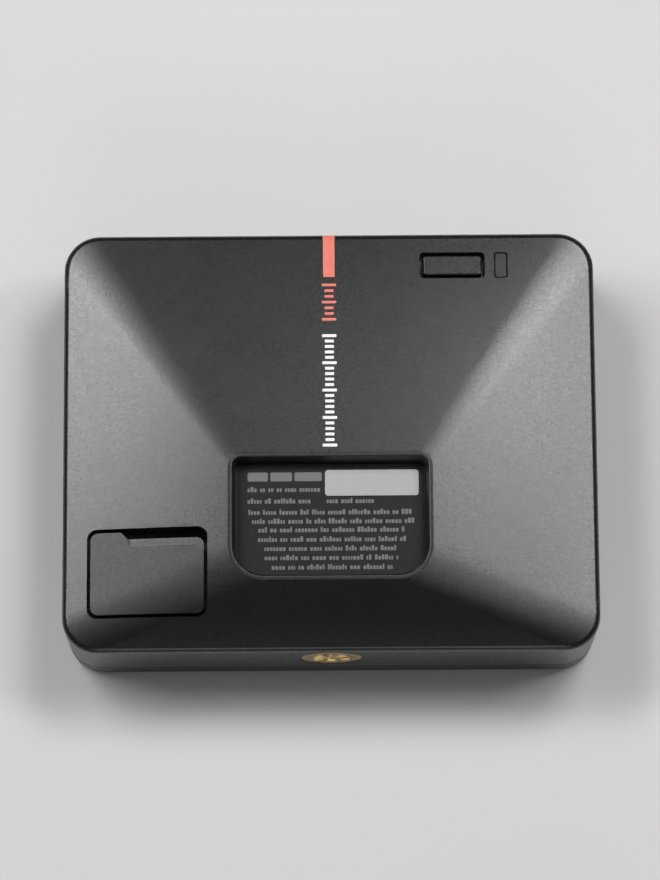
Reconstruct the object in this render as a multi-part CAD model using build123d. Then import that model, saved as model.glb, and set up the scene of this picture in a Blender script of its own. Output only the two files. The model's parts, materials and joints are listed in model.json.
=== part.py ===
"""Portable radar golf launch monitor.

A palm-sized sealed radar unit: a flat front cover that the radar looks through, a thick rear
housing whose back is a shallow four-sided pyramid rising to a recessed rating label, a power key
with a status window, a weather cap over the charging port and a metal 1/4"-20 insert in the
bottom edge for a stand. Inside, from front to back, are an antenna board, a mid frame carrying
a flat lithium cell, and a main board.

Frame, millimetres: X to the right and +Y towards the top edge as seen from the back, +Z out of
the back. The origin is the centre of the front face, which the unit rests on when laid down.

A plan rectangle is a tuple (x0, x1, y0, y1). Corner radii run bottom-left, bottom-right,
top-right, top-left.
"""

import math
import os

from build123d import *

os.makedirs("parts", exist_ok=True)

# ------------------------------------------------------------------ driving dimensions
BODY_W = 88.9  # X
BODY_H = 71.1  # Y
BODY_D = 25.4  # Z
HX, HY = BODY_W / 2, BODY_H / 2
BODY = (-HX, HX, -HY, HY)
CORNER_R = 6.0  # plan corner radius
SPLIT_Z = 6.0  # parting line between the front cover and the rear housing
RIM_Z = 21.2  # where the side walls end and the slopes start
RIM_FILLET = 1.1
CROWN = 0.26  # how far the slopes bulge above straight, halfway up
FRONT_FILLET = 1.6
WALL = 2.0
FRONT_FACE_T = 1.8  # radome thickness
SEAM = 0.14  # open seam between the two shells
GAP = 0.02  # hairline gap between neighbouring pieces

KEEP_TOP = 27  # above the cavity: top of solids kept inside it
CUT_TOP = 28  # above the body: top of cutters and of solids trimmed to the outer form

# rating label recess, at its mouth
RECESS_W = 32.4
RECESS = (-RECESS_W / 2, RECESS_W / 2, -23.5, -3.6)
RECESS_R_TOP = 1.6
RECESS_R_BOTTOM = 5.1
RECESS_DEPTH = 4.0
RECESS_DRAFT = 0.5  # how much smaller the floor is on every side
RECESS_WALL = 1.8
LIP = 0.75  # flat lip round the recess
LABEL_Z = BODY_D - RECESS_DEPTH + GAP
LABEL_T = 0.2

# red alignment inlay
STRIPE_W = 1.95
STRIPE_L = 7.7
STRIPE_T = 0.55

# power key and status window
KEY_Y0, KEY_Y1 = 27.5, 32.1
KEY = (15.2, 26.2, KEY_Y0, KEY_Y1)  # key opening
WINDOW = (27.75, 30.0, KEY_Y0, KEY_Y1)  # status window opening
KEY_GAP = 0.6
WINDOW_GAP = 0.22
SWITCH = (20.7, 28.0)
LAMP = (29.0, 29.0)

# charging port pocket and its cap
PORT_X0, PORT_X1, PORT_Y0, PORT_Y1 = PORT = (-40.3, -20.3, -30.0, -15.1)
PORT_R = 1.7
PORT_WALL = 1.4
PORT_FLOOR_L, PORT_FLOOR_R = 18.6, 20.4  # the floor is deeper left of the step
STEP_X = -34.6
NAIL_FLOOR, NAIL_Y = 18.7, -17.6  # deeper strip along the pocket's top edge
CAP_T = 1.8
CAP_GAP = 0.6
CAP_X0, CAP_X1, CAP_Y0, CAP_Y1 = CAP = (
    PORT_X0 + CAP_GAP,
    PORT_X1 - CAP_GAP,
    PORT_Y0 + 0.55,
    PORT_Y1 - 0.65,
)
USB_X, USB_Y = USB = (-27.5, -23.0)

# stand insert
INSERT_Z = 14.2
INSERT_R = 4.6
INSERT_FLANGE_R = 5.1
INSERT_LEN = 9.1
INSERT_BOSS_R = 6.2
THREAD_MINOR_R = 2.55  # 1/4"-20 UNC minor radius

# boards and mid frame
ANT_Z0, ANT_Z1 = 3.8, 4.8  # antenna board
FRAME_Z0, FRAME_Z1 = 7.4, 8.2  # mid frame plate
MAIN_Z0, MAIN_Z1 = 13.4, 14.4  # main board
ANT_SEAT = ANT_Z1 + GAP  # where components on each board start
MAIN_SEAT = MAIN_Z1 + GAP
BOARD_W, BOARD_H = 80.0, 60.0
BOARD_R = 2.0
CHIP_L, CHIP_W = 1.0, 0.55  # chip passives
BOSS_R = 2.5
SCREW_CLEAR_R = 1.15
FRAME_SCREWS = [(-37.5, 28.0), (37.5, 28.0), (37.5, -28.0), (-13.5, -26.5)]
ANT_SCREWS = [(-37.2, 20.0), (37.2, 20.0), (37.2, -21.0), (-37.2, -21.0)]

# snap hooks: wall axis, side of the body, position along the wall
HOOKS = [("y", side, x) for x in (-24.0, 24.0) for side in (1, -1)]
HOOKS += [("x", side, -6.0) for side in (1, -1)]
HOOK_W = 6.0


# ------------------------------------------------------------------ helpers
def grow(rect, by):
    x0, x1, y0, y1 = rect
    return (x0 - by, x1 + by, y0 - by, y1 + by)


def outline(x0, x1, y0, y1, radii, z=0.0):
    """Closed rounded rectangle wire."""
    bl, br, tr, tl = radii

    def arc(cx, cy, r, start):
        angles = [math.radians(start + turn) for turn in (0, 45, 90)]
        return Edge.make_three_point_arc(
            *[(cx + r * math.cos(a), cy + r * math.sin(a), z) for a in angles]
        )

    return Wire(
        [
            Edge.make_line((x0 + bl, y0, z), (x1 - br, y0, z)),
            arc(x1 - br, y0 + br, br, 270),
            Edge.make_line((x1, y0 + br, z), (x1, y1 - tr, z)),
            arc(x1 - tr, y1 - tr, tr, 0),
            Edge.make_line((x1 - tr, y1, z), (x0 + tl, y1, z)),
            arc(x0 + tl, y1 - tl, tl, 90),
            Edge.make_line((x0, y1 - tl, z), (x0, y0 + bl, z)),
            arc(x0 + bl, y0 + bl, bl, 180),
        ]
    )


def raised(wire, height):
    return extrude(Face(wire), amount=height, dir=(0, 0, 1))


def prism(x0, x1, y0, y1, z0, z1, r):
    """Upright rounded block; r is one radius or four."""
    radii = r if isinstance(r, tuple) else (r,) * 4
    return raised(outline(x0, x1, y0, y1, radii, z0), z1 - z0)


def block(x0, x1, y0, y1, z0, z1):
    centre = Pos((x0 + x1) / 2, (y0 + y1) / 2, (z0 + z1) / 2)
    return centre * Box(x1 - x0, y1 - y0, z1 - z0)


def centred(cx, cy, w, h, z0, z1, r=0.0):
    rect = (cx - w / 2, cx + w / 2, cy - h / 2, cy + h / 2)
    if r > 0:
        return prism(*rect, z0, z1, r)
    return block(*rect, z0, z1)


def rod(x, y, z0, z1, r):
    return Pos(x, y, (z0 + z1) / 2) * Cylinder(r, z1 - z0)


def insert_rod(depth0, depth1, r):
    """Cylinder on the stand insert's axis; depths run up from the bottom edge."""
    centre = Pos(0, -HY + (depth0 + depth1) / 2, INSERT_Z)
    return centre * Rot(90, 0, 0) * Cylinder(r, depth1 - depth0)


def inset_plan(inset, z0, z1):
    """The body outline brought in on every side."""
    return prism(*grow(BODY, -inset), z0, z1, CORNER_R - inset)


def recess_outline(by, z):
    """The label recess outline, grown on every side."""
    radii = (RECESS_R_BOTTOM + by,) * 2 + (RECESS_R_TOP + by,) * 2
    return outline(*grow(RECESS, by), radii, z)


def wall_block(axis, side, centre, width, inset0, inset1, z0, z1):
    """Block along a side wall, between two depths in from the outside of the body."""
    half = HX if axis == "x" else HY
    across = sorted((side * (half - inset0), side * (half - inset1)))
    along = (centre - width / 2, centre + width / 2)
    rect = (*across, *along) if axis == "x" else (*along, *across)
    return block(*rect, z0, z1)


def drilled(part, places, z0, z1, r):
    for x, y in places:
        part = part - rod(x, y, z0, z1, r)
    return part


def with_rods(part, places, z0, z1, r):
    for x, y in places:
        part = part + rod(x, y, z0, z1, r)
    return part


def edges_at(part, *levels):
    """Edges whose centre lies at one of the given heights."""
    return [e for e in part.edges() if any(abs(e.center().Z - z) < 1e-3 for z in levels)]


def rounded_edges(part, edges, radii):
    """Fillet with the first radius the kernel can build."""
    for r in radii:
        # the kernel raises when a radius does not fit, and the next one is tried
        try:
            out = fillet(edges, r)
            if out.is_valid and len(out.solids()) == 1:
                return out
        except Exception:
            continue
    return part


def group(shapes):
    return Compound(children=[solid for s in shapes for solid in s.solids()])


def chip_row(x, y, step_x, step_y, count, z0, z1):
    """Row of chip passives, each lying along the row."""
    w, h = (CHIP_W, CHIP_L) if step_y else (CHIP_L, CHIP_W)
    return [centred(x + step_x * i, y + step_y * i, w, h, z0, z1) for i in range(count)]


def write(shape, name):
    solids = shape.solids()
    if len(solids) == 1:
        shape = solids[0]
    export_step(shape, f"parts/{name}.step")


# ------------------------------------------------------------------ outer form of the body
def slope_section(t):
    """Plan section of the back between the rim (t = 0) and the recess lip (t = 1)."""

    def at(a, b):
        return a + (b - a) * t

    rect = [at(a, b) for a, b in zip(BODY, grow(RECESS, LIP))]
    bottom_r = at(CORNER_R, RECESS_R_BOTTOM + LIP)
    top_r = at(CORNER_R, RECESS_R_TOP + LIP)
    z = at(RIM_Z, BODY_D) + 4 * CROWN * t * (1 - t)
    return outline(*rect, (bottom_r,) * 2 + (top_r,) * 2, z)


def outer_form():
    pyramid = Solid.make_loft([slope_section(t) for t in (0, 0.5, 1)])
    form = inset_plan(0, SPLIT_Z, RIM_Z) + pyramid
    return fillet(edges_at(form, RIM_Z), RIM_FILLET)


outer = outer_form()


def sunk(depth):
    """The outer form moved towards the front, to trim pieces to its surface."""
    return Pos(0, 0, -depth) * outer


def stripe_skin(clearance=0.0):
    """Skin of the top slope, the rim and the top edge, under the alignment stripe."""
    half = STRIPE_W / 2 + clearance
    zone = block(
        -half, half, HY - STRIPE_L - clearance, HY + 1, SPLIT_Z + 0.6 - clearance, BODY_D
    )
    depth = STRIPE_T + clearance
    return (outer & zone) - Pos(0, -depth, -depth) * outer


# ------------------------------------------------------------------ rear housing
KEY_FRAME_OUTSIDE = (13.45, 27.65, 25.5, 33.9)
KEY_FRAME_INSIDE = (14.15, 26.95, 26.2, 33.3)

# ribs inside the housing: x0, x1, y0, y1, lower end z
RIBS = [
    (-0.6, 0.6, -25.6, -21.0, 18.2),  # above the insert boss
    (-11.0, -5.5, -34.5, -33.0, 15.2),  # left and right of the insert boss
    (5.5, 11.0, -34.5, -33.0, 15.2),
    (-12.5, -11.5, -1.8, 33.9, 18.4),  # upright, under the top slope
    (11.5, 12.5, -1.8, 33.9, 18.4),
    (20.0, 42.8, -4.5, -3.5, 18.6),  # crosswise, under the side slopes
    (20.0, 42.8, 9.5, 10.5, 18.6),
    (-42.8, -20.0, 9.5, 10.5, 18.6),
]


def kept_in_cavity():
    """Solids left standing inside the rear housing."""
    port_y0, port_y1 = PORT_Y0 - PORT_WALL, PORT_Y1 + PORT_WALL
    left_x0, right_x1 = PORT_X0 - PORT_WALL, PORT_X1 + PORT_WALL
    right_x0 = STEP_X - 1.0
    nail_y0 = NAIL_Y - 1.3
    # floor and walls of the label recess
    recess_z0 = BODY_D - RECESS_DEPTH - RECESS_WALL
    keep = [raised(recess_outline(RECESS_WALL, recess_z0), 6)]
    # port pocket: deep left end, shallow right end, nail strip
    keep += [
        prism(
            left_x0, STEP_X + 0.4, port_y0, port_y1, PORT_FLOOR_L - PORT_WALL, KEEP_TOP, 1.2
        ),
        prism(right_x0, right_x1, port_y0, port_y1, PORT_FLOOR_R - 1.8, KEEP_TOP, 1.2),
        prism(right_x0, right_x1, nail_y0, port_y1, NAIL_FLOOR - PORT_WALL, KEEP_TOP, 0.6),
    ]
    # frame round the key that the silicone boot closes
    keep.append(
        prism(*KEY_FRAME_OUTSIDE, 17.62, KEEP_TOP, 0.4)
        - prism(*KEY_FRAME_INSIDE, 17.0, CUT_TOP, 0.4)
    )
    keep += [rod(x, y, MAIN_SEAT, KEEP_TOP, BOSS_R) for x, y in FRAME_SCREWS]
    keep.append(insert_rod(0.5, 10.35, INSERT_BOSS_R))
    keep += [block(*rib, KEEP_TOP) for rib in RIBS]
    return keep


def housing_shell():
    inner_z = RIM_Z - WALL
    inner_rim = outline(*grow(BODY, -WALL), (CORNER_R - WALL,) * 4, inner_z)
    hollow = inset_plan(WALL, SPLIT_Z - 1, inner_z) + Solid.make_loft(
        [inner_rim, recess_outline(LIP, BODY_D - WALL)], ruled=True
    )
    for solid in kept_in_cavity():
        hollow = hollow - solid
    return outer - hollow


def cut_label_recess(rear):
    # the cutter runs on past the mouth at the same draft
    rear = rear - Solid.make_loft(
        [
            recess_outline(-RECESS_DRAFT, BODY_D - RECESS_DEPTH),
            recess_outline(RECESS_DRAFT / 2, BODY_D + RECESS_DEPTH / 2),
        ],
        ruled=True,
    )
    x0, x1, y0, y1 = grow(RECESS, 0.01)

    def on_mouth(edge):
        box = edge.bounding_box()
        level = abs(box.max.Z - box.min.Z) < 1e-3
        return level and box.min.X >= x0 and box.max.X <= x1 and y0 <= edge.center().Y <= y1

    mouth = [e for e in edges_at(rear, BODY_D) if on_mouth(e)]
    return rounded_edges(rear, mouth, (0.3, 0.25, 0.2))


def cut_port_pocket(rear):
    rear = rear - prism(*PORT, PORT_FLOOR_R, CUT_TOP, PORT_R)
    # deep left end, for the tether
    rear = rear - prism(
        PORT_X0, STEP_X, PORT_Y0, PORT_Y1, PORT_FLOOR_L, CUT_TOP, (PORT_R, 0.3, 0.3, PORT_R)
    )
    # strip along the top edge, where a finger nail goes in
    rear = rear - prism(
        STEP_X - 0.4, PORT_X1, NAIL_Y, PORT_Y1, NAIL_FLOOR, CUT_TOP, (0.3, 0.3, PORT_R, 0.3)
    )
    rear = rear - centred(*USB, 10.0, 5.0, 17, CUT_TOP, 1.2)  # socket window
    return rear - block(-38.35, -36.85, -24.75, -20.85, 16, CUT_TOP)  # tether slot


def rear_housing():
    rear = housing_shell()
    # lap joint: the front cover's lip and the gasket go up inside this step
    rear = rear - inset_plan(1.0, SPLIT_Z - 1, 7.9)
    # snap windows for the front cover's hooks
    for hook in HOOKS:
        rear = rear - wall_block(*hook, HOOK_W + 0.6, 1.2, 2.6, 9.4, 10.9)
    rear = cut_label_recess(rear)
    rear = cut_port_pocket(rear)
    # key opening, status window and the light pipe's seat behind it
    rear = rear - prism(*KEY, 16, CUT_TOP, 0.75)
    rear = rear - prism(*WINDOW, 18.0, CUT_TOP, 0.45)
    rear = rear - prism(27.67, 30.95, 26.9, 32.7, 16, 19.1, 0.3)
    # pilot holes
    rear = drilled(rear, FRAME_SCREWS, MAIN_Z1 - 1, 19.1, 1.0)
    # seat of the stand insert and of its flange
    rear = rear - insert_rod(-1, INSERT_LEN + 0.05, INSERT_R + 0.01)
    rear = rear - insert_rod(-1, 1.05, INSERT_FLANGE_R + 0.06)
    rear = rear - stripe_skin(GAP)
    # soften the seam; only the inner corner arcs of the lap step are left out
    seam_edges = [
        e
        for e in edges_at(rear, SPLIT_Z)
        if math.hypot(
            abs(e.center().X) - (HX - CORNER_R), abs(e.center().Y) - (HY - CORNER_R)
        )
        > CORNER_R - 0.7
    ]
    return rounded_edges(rear, seam_edges, (0.2, 0.15))


write(rear_housing(), "rear_housing")
write(stripe_skin(), "alignment_stripe")

# ------------------------------------------------------------------ front cover and gasket
# steps of a hook: outer and inner depth from the body's outside, z0, z1
HOOK_STEPS = [
    (1.7, 2.9, 1.5, 7.0),  # root
    (2.1, 2.9, 5.0, 10.7),  # arm
    (1.4, 2.9, 9.6, 10.5),  # catch
]


def front_cover():
    top = SPLIT_Z - SEAM
    front = inset_plan(0, 0, top)
    front = fillet(edges_at(front, 0), FRONT_FILLET)
    front = rounded_edges(front, edges_at(front, top), (0.2, 0.15))
    front = front + inset_plan(1.1, 3.0, 7.1)  # lip
    front = front - inset_plan(WALL, FRONT_FACE_T, 9)
    for hook in HOOKS:
        for step in HOOK_STEPS:
            front = front + wall_block(*hook, HOOK_W, *step)
    return front


write(front_cover(), "front_cover")
write(inset_plan(1.16, 7.14, 7.86) - inset_plan(1.94, 7, 8), "perimeter_gasket")

# ------------------------------------------------------------------ rating label and sticker
STICKER = (-0.88, 14.66, -9.51, -5.14)
STICKER_Z = LABEL_Z + LABEL_T + GAP

write(raised(recess_outline(-RECESS_DRAFT - 0.2, LABEL_Z), LABEL_T), "rating_label")
write(prism(*STICKER, STICKER_Z, STICKER_Z + 0.1, 0.5), "blank_sticker")


# ------------------------------------------------------------------ power key and its switch
def power_key():
    proud = 0.12  # height above the slope
    key = prism(*grow(KEY, -KEY_GAP), 18.6, CUT_TOP, 0.45) & sunk(-proud)
    face_edges = [e for e in key.edges() if 21.3 < e.center().Z < 22.5]
    key = rounded_edges(key, face_edges, (0.25, 0.18, 0.1))
    key = key + prism(14.45, 26.75, 26.5, 32.95, 18.2, 19.0, 0.5)  # flange
    return key + rod(*SWITCH, 17.86, 18.3, 1.25)


def key_boot():
    """Silicone sheet under the key, with a pad on each side over the switch."""
    boot = prism(12.95, 27.6, 25.1, 33.3, 17.0, 17.58, 0.5)
    return boot + rod(*SWITCH, 17.5, 17.8, 1.7) + rod(*SWITCH, 16.78, 17.1, 1.0)


def tactile_switch():
    body = centred(*SWITCH, 6.2, 3.8, MAIN_SEAT, 15.9, 0.2)
    return body - rod(*SWITCH, 14.6, 17, 1.0)


write(power_key(), "power_key")
write(key_boot(), "key_boot")
write(tactile_switch(), "tactile_switch")
write(rod(*SWITCH, 15.0, 16.72, 0.95), "switch_plunger")


# ------------------------------------------------------------------ status light
def light_pipe():
    sunk_by = 0.06
    pipe = prism(*grow(WINDOW, -WINDOW_GAP), 18.3, CUT_TOP, 0.30) & sunk(sunk_by)
    pipe = pipe + prism(27.8, 30.75, 27.05, 32.55, 18.25, 19.05, 0.3)  # flange
    return pipe + rod(*LAMP, 15.6, 18.4, 1.1)


def status_lamp():
    base = centred(*LAMP, 1.6, 1.6, MAIN_SEAT, 15.2, 0.15)
    return base + rod(*LAMP, 15.1, 15.45, 0.6)


write(light_pipe(), "light_pipe")
write(status_lamp(), "status_lamp")

# ------------------------------------------------------------------ weather cap
CAP_CUT_Z = 17  # below the cap: bottom of its blank and cutters
LEDGE_Y = -18.25  # foot of the finger-nail step


def nail_cut(tab_x, low_x, low_y, r):
    """Region above an S-shaped edge that leaves a tab at the left and rounds off at the right."""
    far_x, far_y = CAP_X1 + 1.5, CAP_Y1 + 1.5
    tab_y = CAP_Y1 + 0.01
    z = CAP_CUT_Z
    diagonal = r * math.sqrt(0.5)
    edges = [
        Edge.make_line((tab_x, far_y, z), (tab_x, tab_y, z)),
        Edge.make_spline(
            [(tab_x, tab_y, z), (low_x, low_y, z)],
            tangents=[(1, 0, 0), (1, 0, 0)],
        ),
        Edge.make_line((low_x, low_y, z), (CAP_X1 - r, low_y, z)),
        Edge.make_three_point_arc(
            (CAP_X1 - r, low_y, z),
            (CAP_X1 - r + diagonal, low_y - r + diagonal, z),
            (CAP_X1, low_y - r, z),
        ),
        Edge.make_line((CAP_X1, low_y - r, z), (far_x, low_y - r, z)),
        Edge.make_line((far_x, low_y - r, z), (far_x, far_y, z)),
        Edge.make_line((far_x, far_y, z), (tab_x, far_y, z)),
    ]
    return raised(Wire(edges), CUT_TOP - z)


def port_cap():
    flap = (outer & prism(*CAP, CAP_CUT_Z, CUT_TOP, 1.3)) - sunk(CAP_T)
    # finger-nail notch: the face stops short of the top edge and a thinner ledge lies beyond it
    flap = flap - (nail_cut(-34.9, -32.3, LEDGE_Y, 1.6) - sunk(0.75))
    # fine groove along the foot of the step
    groove = block(-32.2, CAP_X1 - 1.5, LEDGE_Y - 0.02, LEDGE_Y + 0.17, CAP_CUT_Z, CUT_TOP)
    flap = flap - (groove - sunk(1.1))
    # the ledge's own edge
    flap = flap - nail_cut(-35.0, -33.3, -16.8, 1.3)

    def on_left_or_bottom(edge):
        box = edge.bounding_box()
        return box.max.X < CAP_X0 + 0.05 or box.max.Y < CAP_Y0 + 0.05

    face_edges = [
        e
        for e in flap.edges()
        if e.center().Z > 21.9 and e.length > 2.0 and on_left_or_bottom(e)
    ]
    flap = rounded_edges(flap, face_edges, (0.25, 0.18, 0.12))
    # bung that plugs the socket window
    bung_z = 19.32
    bung = centred(*USB, 8.8, 3.8, bung_z, 24, 1.0) & sunk(0.6)
    bung = rounded_edges(bung, edges_at(bung, bung_z), (0.4, 0.3, 0.2))
    return flap + bung


def cap_tether():
    """Rubber strap: head on the pocket floor, neck through the slot, anchor below the floor."""
    tether = prism(-39.0, -36.3, -26.0, -19.6, PORT_FLOOR_L + 0.04, 19.75, 0.8)
    tether = tether + block(-38.3, -36.9, -24.7, -20.9, 17.0, 19.0)
    return tether + prism(-39.0, -36.2, -25.6, -20.0, 15.9, 17.14, 0.8)


write(port_cap(), "port_cap")
write(cap_tether(), "cap_tether")

# ------------------------------------------------------------------ charging socket
# micro-B, standing upright on the main board
USB_W, USB_H = 7.5, 2.5
USB_CHAMFER = 0.8
USB_TOP = 19.1
TONGUE_Y = USB_Y + 0.12
CONTACT_PITCH = 0.975


def usb_profile(by, z0, z1):
    """Prism of the socket's outline, grown on every side; the two lower corners are cut."""
    w, h = USB_W / 2 + by, USB_H / 2 + by
    cut = USB_CHAMFER
    points = [(cut - w, -h), (w - cut, -h), (w, cut - h), (w, h), (-w, h), (-w, cut - h)]
    corners = [(USB_X + x, USB_Y + y, z0) for x, y in points]
    sides = [Edge.make_line(a, b) for a, b in zip(corners, corners[1:] + corners[:1])]
    return raised(Wire(sides), z1 - z0)


def socket_shell():
    shell = usb_profile(0, MAIN_SEAT, USB_TOP) - usb_profile(-0.28, 15.2, 20)
    for x in (USB_X - 3.2, USB_X + 3.2):  # solder feet
        shell = shell + block(x - 0.5, x + 0.5, USB_Y + 1.2, USB_Y + 2.4, MAIN_SEAT, 14.8)
    return shell


def socket_tongue():
    tongue = centred(USB_X, TONGUE_Y, 5.4, 0.7, 15.22, 18.4, 0.1)
    return tongue + centred(USB_X, TONGUE_Y, 5.6, 1.3, 15.22, 15.8, 0.1)


def socket_contacts():
    places = [USB_X + (i - 2) * CONTACT_PITCH for i in range(5)]
    return group(
        [block(x - 0.16, x + 0.16, USB_Y - 0.31, USB_Y - 0.25, 15.85, 18.2) for x in places]
    )


def socket_seal():
    return centred(*USB, 12.2, 7.0, 16.9, 18.56, 1.6) - usb_profile(0.05, 16, 19)


write(socket_shell(), "socket_shell")
write(socket_tongue(), "socket_tongue")
write(socket_contacts(), "socket_contacts")
write(socket_seal(), "socket_seal")


# ------------------------------------------------------------------ stand insert
def stand_insert():
    groove_w, groove_depth = 0.8, 0.4
    countersink = 0.65
    insert = insert_rod(GAP, INSERT_LEN, INSERT_R)
    insert = insert + insert_rod(GAP, 1.0, INSERT_FLANGE_R)
    for start in (2.6, 5.6):
        end = start + groove_w
        insert = insert - (
            insert_rod(start, end, 6)
            - insert_rod(start - 0.1, end + 0.1, INSERT_R - groove_depth)
        )
    insert = insert - insert_rod(-1, 8.6, THREAD_MINOR_R)
    cone = Cone(THREAD_MINOR_R, THREAD_MINOR_R + countersink, countersink)
    return insert - Pos(0, -HY + GAP + 0.3, INSERT_Z) * Rot(90, 0, 0) * cone


write(stand_insert(), "stand_insert")

# ------------------------------------------------------------------ antenna board
PATCH_L, PATCH_W, PATCH_T = 3.2, 4.1, 0.06  # Y, X, Z
PATCH_ROWS = 5
PATCH_PITCH_Y = 7.4
PATCH_Y0 = -13.0  # lowest row
BUS_Y = PATCH_Y0 - 4.0  # track joining the columns
TRUNK_Y0 = PATCH_Y0 - 6.4
TRACK = 0.2  # half width of the tracks
TRANSMIT_XS = [-31.5, -24.3, -17.1, -9.9]
RECEIVE_XS = [[0.5, 7.7], [16.0, 23.2], [31.5]]

CHIP_CENTRE = (-6, 2)
SHIELD = (-21, 9, -11, 15)
# centre x, centre y, width, height, top z
ANT_CHIPS = [
    (17, 12, 5, 4, 5.7),
    (17, 4, 3, 3, 5.9),
    (24, 8, 3.2, 2.5, 5.6),
    (-27, -16, 4, 4, 5.6),
]
# first x, first y, x step, y step, count
ANT_CHIP_ROWS = [(14, -6 - 2.4 * i, 2.2, 0, 5) for i in range(3)]
ANT_CHIP_ROWS += [(-30, 20 + 2.2 * i, 2.4, 0, 6) for i in range(2)]


def antenna_board():
    board = centred(0, 0, BOARD_W, BOARD_H, ANT_Z0, ANT_Z1, BOARD_R)
    return drilled(board, ANT_SCREWS, 0, 10, 0.9)


def copper(x0, x1, y0, y1):
    """Copper on the front face of the antenna board."""
    return block(x0, x1, y0, y1, ANT_Z0 - GAP - PATCH_T, ANT_Z0 - GAP)


def patch_column(x):
    rows = [PATCH_Y0 + i * PATCH_PITCH_Y for i in range(PATCH_ROWS)]
    column = copper(x - TRACK, x + TRACK, BUS_Y, rows[-1])
    for y in rows:
        column = column + copper(
            x - PATCH_W / 2, x + PATCH_W / 2, y - PATCH_L / 2, y + PATCH_L / 2
        )
    return column


def patch_array(xs):
    array = patch_column(xs[0])
    for x in xs[1:]:
        array = array + patch_column(x)
    array = array + copper(xs[0] - TRACK, xs[-1] + TRACK, BUS_Y - TRACK, BUS_Y + TRACK)
    middle = (xs[0] + xs[-1]) / 2
    return array + copper(middle - TRACK, middle + TRACK, TRUNK_Y0, BUS_Y)


def radar_shield():
    can = prism(*SHIELD, ANT_SEAT, 7.0, 0.8)
    return can - prism(*grow(SHIELD, -0.25), 4.0, 6.75, 0.6)


def antenna_board_chips():
    chips = [centred(x, y, w, h, ANT_SEAT, top) for x, y, w, h, top in ANT_CHIPS]
    for row in ANT_CHIP_ROWS:
        chips += chip_row(*row, ANT_SEAT, 5.2)
    return group(chips)


write(antenna_board(), "antenna_board")
write(patch_array(TRANSMIT_XS), "transmit_antenna")
write(group([patch_array(xs) for xs in RECEIVE_XS]), "receive_antennas")
write(centred(*CHIP_CENTRE, 8, 8, ANT_SEAT, 5.75, 0.2), "radar_chip")
write(centred(*CHIP_CENTRE, 7.4, 7.4, 5.77, 6.72, 0.3), "thermal_pad")
write(radar_shield(), "radar_shield")
write(antenna_board_chips(), "antenna_board_chips")


# ------------------------------------------------------------------ cable between the boards
def hairpin(y, x0, x1, z0, z1, r, x_end):
    """Edges running out along +X from x0, up at x1 and back to x_end, with rounded bends."""
    diagonal = math.sqrt(0.5) * r
    bend_x = x1 - r
    return [
        Edge.make_line((x0, y, z0), (bend_x, y, z0)),
        Edge.make_three_point_arc(
            (bend_x, y, z0), (bend_x + diagonal, y, z0 + r - diagonal), (x1, y, z0 + r)
        ),
        Edge.make_line((x1, y, z0 + r), (x1, y, z1 - r)),
        Edge.make_three_point_arc(
            (x1, y, z1 - r), (bend_x + diagonal, y, z1 - r + diagonal), (bend_x, y, z1)
        ),
        Edge.make_line((bend_x, y, z1), (x_end, y, z1)),
    ]


def xz_prism(x0, x1, z0, z1, r, y0, y1):
    """Block along Y whose two +X corners are rounded."""
    sides = hairpin(y0, x0, x1, z0, z1, r, x_end=x0)
    sides.append(Edge.make_line((x0, y0, z1), (x0, y0, z0)))
    return extrude(Face(Wire(sides)), amount=y1 - y0, dir=(0, 1, 0))


def cable_socket(board_top, slot_z):
    y0, y1 = 3.0, 13.0
    body = block(33.4, 38.0, y0, y1, board_top + GAP, board_top + 1.3)
    return body - block(36.3, 39, y0 + 0.4, y1 - 0.4, slot_z, slot_z + 0.3)


def board_flat_cable():
    cable = xz_prism(36.4, 41.2, 5.4, 15.3, 1.2, 3.6, 12.4)
    return cable - xz_prism(35, 41.0, 5.6, 15.1, 1.0, 3, 13)


write(cable_socket(ANT_Z1, slot_z=5.35), "antenna_cable_socket")
write(cable_socket(MAIN_Z1, slot_z=15.05), "main_cable_socket")
write(board_flat_cable(), "board_flat_cable")

# ------------------------------------------------------------------ mid frame
# centres of the upright ribs along the top and bottom edges
FRAME_RIBS = [(-22.0, -26.8), (-22.0, 27.2), (0.0, 27.2), (22.0, -26.8), (22.0, 27.2)]


def mid_frame():
    frame = centred(0, 0, BOARD_W - 1, BOARD_H - 1, FRAME_Z0, FRAME_Z1, 3.0)
    # cut-outs for the insert boss, the flat cable and the battery leads
    for rect in ((-7.7, 7.7, -31, -24.4), (38.0, 41, 2.4, 13.6), (37.0, 41, -18.0, -10.0)):
        frame = frame - block(*rect, 5, 15)
    # wall round the cell, notched at the protection board
    cradle = prism(-32.7, 35.2, -22.1, 24.6, FRAME_Z1 - 0.2, 10.6, 1.6)
    cradle = cradle - prism(-31.6, 34.1, -21.1, 23.6, FRAME_Z1 - 0.3, 11, 1.2)
    cradle = cradle - block(33.0, 36, -17.5, -10.5, 8.3, 12)
    frame = frame + cradle
    # posts to the main board and to the antenna board
    frame = with_rods(frame, FRAME_SCREWS, FRAME_Z0, MAIN_Z0 - GAP, BOSS_R)
    frame = with_rods(frame, ANT_SCREWS, ANT_SEAT, FRAME_Z1, 2.1)
    for x, y in FRAME_RIBS:
        frame = frame + block(x - 6, x + 6, y - 0.5, y + 0.5, FRAME_Z1 - 0.1, 13.3)
    frame = drilled(frame, FRAME_SCREWS, 5, 15, SCREW_CLEAR_R)
    frame = drilled(frame, ANT_SCREWS, 4, 7.9, 0.65)
    # windows in the plate under the cell
    for x in (-20.0, 0.0, 20.0):
        frame = frame - centred(x, 1.2, 13, 30, 7, 8.3, 2.0)
    return frame


write(mid_frame(), "mid_frame")

# ------------------------------------------------------------------ battery
CELL_Z0, CELL_Z1 = 8.5, 12.9
LEAD_R = 0.5


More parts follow.
